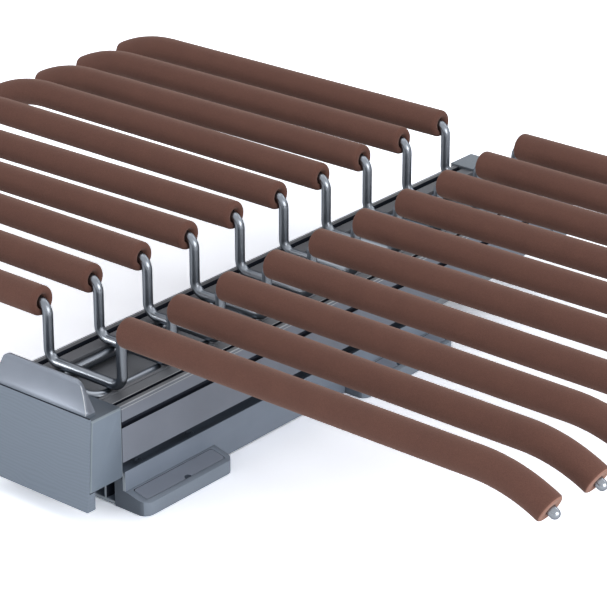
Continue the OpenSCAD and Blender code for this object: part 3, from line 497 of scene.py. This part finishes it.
def dome(bm, section, direction):
    """Rings of a wire's round end, from its last section outwards, and its tip."""
    centre, a, b, along = section
    rings = []
    for k in range(1, DOME_STEPS):
        t = math.pi / 2 * k / DOME_STEPS
        rings.append(wire_ring(bm, centre + along * direction * WIRE_R * math.sin(t), a, b,
                               WIRE_R * math.cos(t)))
    return rings, bm.verts.new(centre + along * direction * WIRE_R)


def stitch(bm, rings, kinds=None):
    """Faces between rings of points. kinds gives the material number of each band of faces."""
    for i, (one, two) in enumerate(zip(rings, rings[1:])):
        n = len(one)
        for k in range(n):
            face = bm.faces.new((one[k], one[(k + 1) % n], two[(k + 1) % n], two[k]))
            if kinds:
                face.material_index = kinds[i]


def wire_along(bm, points, closed=False):
    """Sweeps the wire's circle along points in bm. Open ends are round."""
    count = len(points)
    sections = []
    side_axis = None
    for i, p in enumerate(points):
        before = points[i - 1] if (i > 0 or closed) else p
        after = points[(i + 1) % count] if (i < count - 1 or closed) else p
        along = (after - before).normalized()
        if side_axis is None:
            side_axis = along.orthogonal().normalized()
        side_axis = (side_axis - along * side_axis.dot(along)).normalized()
        sections.append((p, side_axis, along.cross(side_axis), along))
    rings = [wire_ring(bm, p, a, b) for p, a, b, _ in sections]
    if closed:
        stitch(bm, rings + rings[:1])
        return
    first, first_tip = dome(bm, sections[0], -1)
    last, last_tip = dome(bm, sections[-1], 1)
    rings = first[::-1] + rings + last
    stitch(bm, rings)
    for k in range(TUBE_SEGMENTS):
        after = (k + 1) % TUBE_SEGMENTS
        bm.faces.new((first_tip, rings[0][after], rings[0][k]))
        bm.faces.new((last_tip, rings[-1][k], rings[-1][after]))


def stand_for(piece, node, body):
    """Shows a piece in place of a CAD node, moving with its body."""
    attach(piece, body)
    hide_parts(node)


def finish_piece(name, bm, materials, replaced):
    """Turns bm into an object on the carriage that stands for the CAD node replaced."""
    bmesh.ops.recalc_face_normals(bm, faces=bm.faces)
    mesh = bpy.data.meshes.new(name)
    bm.to_mesh(mesh)
    bm.free()
    for polygon in mesh.polygons:
        polygon.use_smooth = True
    for material in materials:
        mesh.materials.append(material)
    piece = add_object(name, mesh)
    stand_for(piece, replaced, "carriage")
    return piece


def make_wires(materials):
    """The ten wires. The ends that stand out of the sleeves are polished."""
    bare_x = ARM_STRAIGHT_X + TIP_CURVE_R * math.sin(SLEEVE_ANGLE) - POLISH_OVERLAP
    for i, (y, leans) in enumerate(zip(WIRE_YS, ARM_LEANS), 1):
        bm = bmesh.new()
        wire_along(bm, wire_path(leans, y))
        for face in bm.faces:
            face.material_index = int(abs(face.calc_center_median().x) > bare_x)
        finish_piece(f"hanger_wire_{i}", bm, materials, f"wire_{i}")


def make_loop(material):
    low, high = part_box("welded_loop")
    z = (low.z + high.z) / 2
    x = high.x - WIRE_R - BEND_R
    front, rear = low.y + WIRE_R + BEND_R, high.y - WIRE_R - BEND_R
    corners = ((x, front, -90), (x, rear, 0), (-x, rear, 90), (-x, front, 180))
    points = [Vector((u, v, z)) for cx, cy, start in corners
              for u, v in bend(cx, cy, start, 90, LOOP_BEND_STEPS)]
    bm = bmesh.new()
    wire_along(bm, points, closed=True)
    finish_piece("wire_loop", bm, [material], "welded_loop")


# Sleeves

def sleeve_outline(total, joints):
    """Outline of a sleeve's wall as (metres along, radius) points, outside first, then the bore."""
    inner, outer = SLEEVE_INNER_ROUND, SLEEVE_OUTER_ROUND
    turns = [math.pi / 2 * i / ROUND_STEPS for i in range(ROUND_STEPS + 1)]
    outline = [(inner * (1 - math.cos(a)), SLEEVE_R - inner * (1 - math.sin(a))) for a in turns]
    outline += [(s, SLEEVE_R) for s in joints if inner < s < total - outer]
    outline += [(total - outer * (1 - math.sin(a)), SLEEVE_R - outer * (1 - math.cos(a)))
                for a in turns]
    outline += [(total, SLEEVE_BORE_R + SLEEVE_BREAK), (total - SLEEVE_BREAK, SLEEVE_BORE_R)]
    outline += [(total * k / ROUND_STEPS, SLEEVE_BORE_R) for k in range(ROUND_STEPS - 1, 0, -1)]
    outline += [(SLEEVE_MOUTH_L + SLEEVE_MOUTH_TAPER_L, SLEEVE_BORE_R),
                (SLEEVE_MOUTH_L, SLEEVE_MOUTH_R - SLEEVE_BREAK),
                (SLEEVE_MOUTH_FLARE_L, SLEEVE_MOUTH_R),
                (0.0, SLEEVE_MOUTH_R + SLEEVE_MOUTH_FLARE)]
    return outline


def sleeve_path(side):
    """Points and directions along the middle of a sleeve, from its inner end."""
    level = Vector((side, 0, 0))
    path = []
    for i in range(SLEEVE_STRAIGHT_STEPS):
        x = SLEEVE_START_X + (ARM_STRAIGHT_X - SLEEVE_START_X) * i / SLEEVE_STRAIGHT_STEPS
        path.append((Vector((side * x, 0, ARM_Z)), level))
    return path + tip_curve(side, SLEEVE_ANGLE)


def add_sleeve(bm, side, y, lean):
    """A foam tube along one arm: rounded inner end, wide mouth, softly rounded outer end."""
    centre = sleeve_path(side)
    lengths = [0.0]
    for one, two in zip(centre, centre[1:]):
        lengths.append(lengths[-1] + (two[0] - one[0]).length)
    total = lengths[-1]

    def place(s):
        """Middle and direction of the sleeve at s metres from its inner end."""
        for i in range(len(lengths) - 1):
            if s <= lengths[i + 1]:
                t = (s - lengths[i]) / (lengths[i + 1] - lengths[i])
                return (centre[i][0].lerp(centre[i + 1][0], t),
                        centre[i][1].lerp(centre[i + 1][1], t).normalized())
        return centre[-1]

    outline = sleeve_outline(total, lengths[1:-1])
    across = Vector((0, 1, 0))
    rings = []
    for s, r in outline:
        middle, along = place(s)
        up = along.cross(across).normalized()
        points = (leaning(p, side, lean) for p in circle(middle, across, up, r, SLEEVE_SEGMENTS))
        rings.append([bm.verts.new(p + Vector((0, y, 0))) for p in points])
    reach = [s for s, _ in outline] + [0.0]
    kinds = [int(min(pair) > total - SLEEVE_CUT_DEPTH) for pair in zip(reach, reach[1:])]
    stitch(bm, rings + rings[:1], kinds)


def make_sleeves(materials):
    for i, (y, leans) in enumerate(zip(WIRE_YS, ARM_LEANS), 1):
        bm = bmesh.new()
        for side, lean in zip((-1, 1), leans):
            add_sleeve(bm, side, y, lean)
        piece = finish_piece(f"sleeve_pair_{i}", bm, materials, f"sleeves_{i}")


# Tests that tell faces: each takes the mesh and one of its faces

def in_boxes(boxes):
    """Faces whose middle, or its mirror image, is in one of the X and Z limits."""
    def test(mesh, face):
        x, z = abs(face.center.x), face.center.z
        return any(x0 < x < x1 and z0 < z < z1 for x0, z0, x1, z1 in boxes)
    return test


def around(node, margin):
    """Faces that lie wholly in a CAD node's box, grown by the margin."""
    low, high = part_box(node)

    def test(mesh, face):
        return all(low[k] - margin < mesh.vertices[v].co[k] < high[k] + margin
                   for v in face.vertices for k in range(3))
    return test


def near(x, y, reach):
    """Faces that lie wholly within reach of a place, seen from above."""
    def test(mesh, face):
        return all((mesh.vertices[v].co.xy - Vector((x, y))).length < reach
                   for v in face.vertices)
    return test


def sawn(mesh, face):
    """Faces that look straight to the front or the rear."""
    return abs(face.normal.y) > STRAIGHT


def facing_front(mesh, face):
    return face.normal.y < -FORWARDS


def facing_up(mesh, face):
    return face.normal.z > UPWARDS


# Softened copies of the rigid pieces

def add_bevel(piece, name, width, **settings):
    """Rounds edges of a piece by a modifier. settings tell which edges, and how."""
    bevel = piece.modifiers.new(name, "BEVEL")
    bevel.width = width
    bevel.segments = BEVEL_SEGMENTS
    for key, value in settings.items():
        setattr(bevel, key, value)


def softened(node, material, body, width, shades=(), smooth=True):
    """A copy of a CAD piece with its sharp edges rounded a little, as paint and dies leave them.

    shades gives further materials, each with the test that tells its faces. With a width of
    0 no edge is rounded.
    """
    mesh = NODES[node].data.copy()
    mesh.name = f"{node}_soft"
    mesh.materials.clear()
    bm = bmesh.new()
    bm.from_mesh(mesh)
    bmesh.ops.remove_doubles(bm, verts=bm.verts, dist=MERGE_DISTANCE)
    bmesh.ops.dissolve_limit(bm, angle_limit=FLAT_ANGLE, verts=bm.verts, edges=bm.edges)
    bm.to_mesh(mesh)
    bm.free()
    for polygon in mesh.polygons:
        polygon.use_smooth = smooth
    piece = add_object(mesh.name, mesh)
    mesh.materials.append(material)
    for i, (shade, test) in enumerate(shades, 1):
        mesh.materials.append(shade)
        for polygon in mesh.polygons:
            if test(mesh, polygon):
                polygon.material_index = i
    if width:
        add_bevel(piece, "edge", width, limit_method="ANGLE", angle_limit=SHARP_ANGLE,
                  use_clamp_overlap=True, harden_normals=smooth)
    stand_for(piece, node, body)
    return piece


def round_highlighted_edges(piece, material, width_at):
    """Rounds some edges of a piece and gives the rounding a material of its own, a painted
    highlight.

    width_at gives the width of the rounding for the two ends of an edge, or 0.
    """
    mesh = piece.data
    mesh.materials.append(material)
    name = f"{material.name}_share"
    shares = mesh.attributes.new(name, "FLOAT", "EDGE").data
    widths = [width_at(*(mesh.vertices[v].co for v in edge.vertices)) for edge in mesh.edges]
    widest = max(widths)
    for width, share in zip(widths, shares):
        share.value = width / widest
    add_bevel(piece, name, widest, limit_method="WEIGHT", edge_weight=name,
              use_clamp_overlap=False, material=len(mesh.materials) - 1)
    piece.modifiers.move(len(piece.modifiers) - 1, 0)


def deck_line_width(one, two):
    """Width of the rounding with a painted highlight on the deck's upper long edges."""
    if abs(one.y - two.y) > LONG_EDGE and min(one.z, two.z) > DECK_LINES_Z:
        for x, width in DECK_LINES:
            if abs(abs(one.x) - x) < LINE_TOLERANCE:
                return width
    return 0


def cap_edge_width(one, two):
    """Width of the rounding with a painted highlight round the front cap's sides: on top, in front
    and behind.
    """
    if min(abs(one.x), abs(two.x)) < CAP_SIDE_X or one.x * two.x < 0:
        return 0
    return CAP_EDGE_W * (min(one.z, two.z) > CAP_SIDE_TOP or min(one.y, two.y) > CAP_SIDE_REAR
                         or max(one.y, two.y) < CAP_SIDE_FRONT)


def lip_edge_width(one, two):
    """Width of the rounding with a painted highlight on the handle lip's sloping side edges, in
    front.
    """
    for end in (one, two):
        side_x = LIP_FOOT_X - (end.z - LIP_FOOT_Z) * LIP_SIDE_SLOPE
        if end.z < LIP_FOOT_Z - LINE_TOLERANCE or abs(abs(end.x) - side_x) > LINE_TOLERANCE:
            return 0
    return LIP_EDGE_W * (max(one.y, two.y) < LIP_REAR_Y and one.x * two.x > 0
                         and abs(one.z - two.z) > LINE_TOLERANCE)


def dress(nodes, material):
    """Gives CAD pieces that stay as they are a better material."""
    for node in nodes:
        mesh = NODES[node].data
        mesh.materials.clear()
        mesh.materials.append(material)


# The studio

make_camera()
make_lights()
make_world()
make_floor()

# What the pieces are made of

flock = flock_material("brown_flock", (0.124, 0.059, 0.046), (0.135, 0.064, 0.049))
flock_end = flock_material("cut_flock", (0.26, 0.135, 0.10), (0.29, 0.155, 0.12))
wire_steel = steel_material("satin_wire", (0.26, 0.28, 0.31), 0.30, edge=(0.20, 0.24, 0.30))
tip_steel = steel_material("tip_polish", (0.33, 0.35, 0.38), 0.24, edge=(0.22, 0.26, 0.32))
deck_paint = painted_material("deck_paint", (0.178, 0.196, 0.238), gloss=0.4)
# Painted shade: a darker copy of the deck paint for its top and sunk channel, which get less light
# than its sides.
deck_top_painted_shade = painted_material("deck_top_painted_shade", (0.155, 0.162, 0.178), gloss=0.2)
rail_paint = painted_material("rail_paint", (0.193, 0.228, 0.285), gloss=0.4)
# Painted shade: dark blue grey for the running gap's bridges, the foot screws in it and the covers'
# pry notches.
gap_painted_shade = painted_material("gap_painted_shade", (0.070, 0.088, 0.118), gloss=0.12)
# Painted shade: near black for the deck's grooves, the rail's webs and chambers, the panel's top
# edge under the lip and the foot pockets round the covers.
painted_shade_black = painted_material("painted_shade_black", (0.013, 0.016, 0.026), roughness=0.6, gloss=0.2)
cap_paint = painted_material("cap_paint", (0.192, 0.235, 0.292), metal=0.1, roughness=0.36)
# Painted shade: a darker copy of the cap paint for the cap's top, which gets less light than its
# sides.
cap_top_painted_shade = painted_material("cap_top_painted_shade", (0.100, 0.122, 0.152), gloss=0.25)
# Painted highlight: a lighter copy of the cap paint for the rounded edges round its sides.
cap_edge_highlight = painted_material("cap_edge_highlight", (0.250, 0.295, 0.335), metal=0.1, roughness=0.36)
# Painted highlight: a pale metallic colour for rounded edges, seen as bright lines.
bright_edge = painted_material("bright_edge", (0.42, 0.44, 0.46), metal=0.3, roughness=0.3)
lip_paint = painted_material("lip_paint", (0.215, 0.240, 0.285), metal=0.45, roughness=0.33,
                             grain=0.000001)
foot_paint = painted_material("foot_paint", (0.215, 0.252, 0.305), gloss=0.2)
# Painted shade: a darker copy of the foot paint for the feet's front faces, which lie in the
# panel's shade.
foot_front_painted_shade = painted_material("foot_front_painted_shade", (0.125, 0.148, 0.182), gloss=0.2)
cover_paint = painted_material("cover_paint", (0.235, 0.265, 0.325), roughness=0.5, gloss=0.2)
panel_foil = new_material("grained_foil", grained_look)
rear_plastic = plastic_material("rear_cap_moulding", (0.175, 0.208, 0.245))
dark_plastic = plastic_material("dark_moulding", (0.020, 0.022, 0.026))
damper_grey = plastic_material("damper_moulding", (0.10, 0.105, 0.115))
pad_rubber = plastic_material("pad_rubber", (0.012, 0.012, 0.013), 0.7)
zinc = strip_material("zinc_strip", (0.36, 0.38, 0.41))
cage_zinc = strip_material("cage_zinc", (0.42, 0.42, 0.42))
cut_metal = steel_material("cut_metal", (0.42, 0.46, 0.50), 0.4)
ball_chrome = steel_material("ball_polish", (0.75, 0.76, 0.78), 0.12)
screw_zinc = steel_material("screw_zinc", (0.40, 0.41, 0.43), 0.34)
screw_black = steel_material("screw_black", (0.016, 0.017, 0.020), 0.45)
rod_chrome = steel_material("rod_polish", (0.62, 0.63, 0.65), 0.14)

# The carriage

make_sleeves([flock, flock_end])
make_wires([wire_steel, tip_steel])
make_loop(wire_steel)

# The deck's top and channel get painted shade, and its grooves near black painted shade.
deck = softened("carriage_deck", deck_paint, "carriage", 0,
                [(deck_top_painted_shade, in_boxes(DECK_SHADED_TOP)), (painted_shade_black, in_boxes(DECK_GROOVES))],
                smooth=False)
# The deck's upper long edges get a painted highlight.
round_highlighted_edges(deck, bright_edge, deck_line_width)
# The cap's top gets painted shade. The handle lip is a more metallic paint.
cap = softened("front_cap", cap_paint, "carriage", CAST_EDGE_W,
               [(cap_top_painted_shade, in_boxes(CAP_SHADED_TOP)), (lip_paint, in_boxes(LIP))])
# The cap's side edges get a painted highlight, and the lip's side edges a brighter one.
round_highlighted_edges(cap, cap_edge_highlight, cap_edge_width)
round_highlighted_edges(cap, bright_edge, lip_edge_width)
# The panel's top edge, in the gap under the lip, is painted near black as shade.
softened("face_panel", panel_foil, "carriage", CAST_EDGE_W,
         [(painted_shade_black, facing_up)])
softened("rear_cap", rear_plastic, "carriage", CAST_EDGE_W)

# The rail and its feet

# The rail's webs and chambers are painted near black and its bridges dark blue grey, as the shade
# in the running gap. Its sawn ends are bare metal.
softened("fixed_rail", rail_paint, "mounting_rail", RAIL_EDGE_W,
         [(painted_shade_black, in_boxes(RAIL_WEBS + RAIL_CHAMBERS)),
          (gap_painted_shade, in_boxes(RAIL_BRIDGES)), (cut_metal, sawn)])
for corner in ("front_left", "front_right", "rear_left", "rear_right"):
    cover = f"cover_{corner}"
    # Each foot's pocket round its cover is painted near black as shade, and its front faces darker
    # as the shade behind the panel.
    softened(f"foot_{corner}", foot_paint, "mounting_rail", CAST_EDGE_W,
             [(painted_shade_black, around(cover, COVER_SEAM)), (foot_front_painted_shade, facing_front)])
    low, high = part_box(cover)
    notch_x = high.x if corner.endswith("right") else low.x
    # Each cover's pry notch is painted dark blue grey as shade.
    softened(cover, cover_paint, "mounting_rail", COVER_EDGE_W,
             [(gap_painted_shade, near(notch_x, low.y + NOTCH_FROM_END, NOTCH_REACH))], smooth=False)

# Pieces that keep their CAD shape

dress([f"{kind}_member_{side}" for kind in ("inner", "middle", "outer")
       for side in ("left", "right")], zinc)
dress(["outer_cages", "inner_cages"], cage_zinc)
dress(["outer_balls", "inner_balls"], ball_chrome)
dress(["cap_screws", "inner_screws"], screw_zinc)
dress(["outer_screws"], screw_black)
# The foot screws lie in the running gap and are painted its dark shade.
dress(["foot_screws"], gap_painted_shade)
dress(["rod_holders", "striker", "damper_clips"], dark_plastic)
dress(["damper_cylinder"], damper_grey)
dress(["damper_rod"], rod_chrome)
dress(["stop_pads"], pad_rubber)

# How colours are shown

bpy.context.scene.view_settings.view_transform = "Standard"
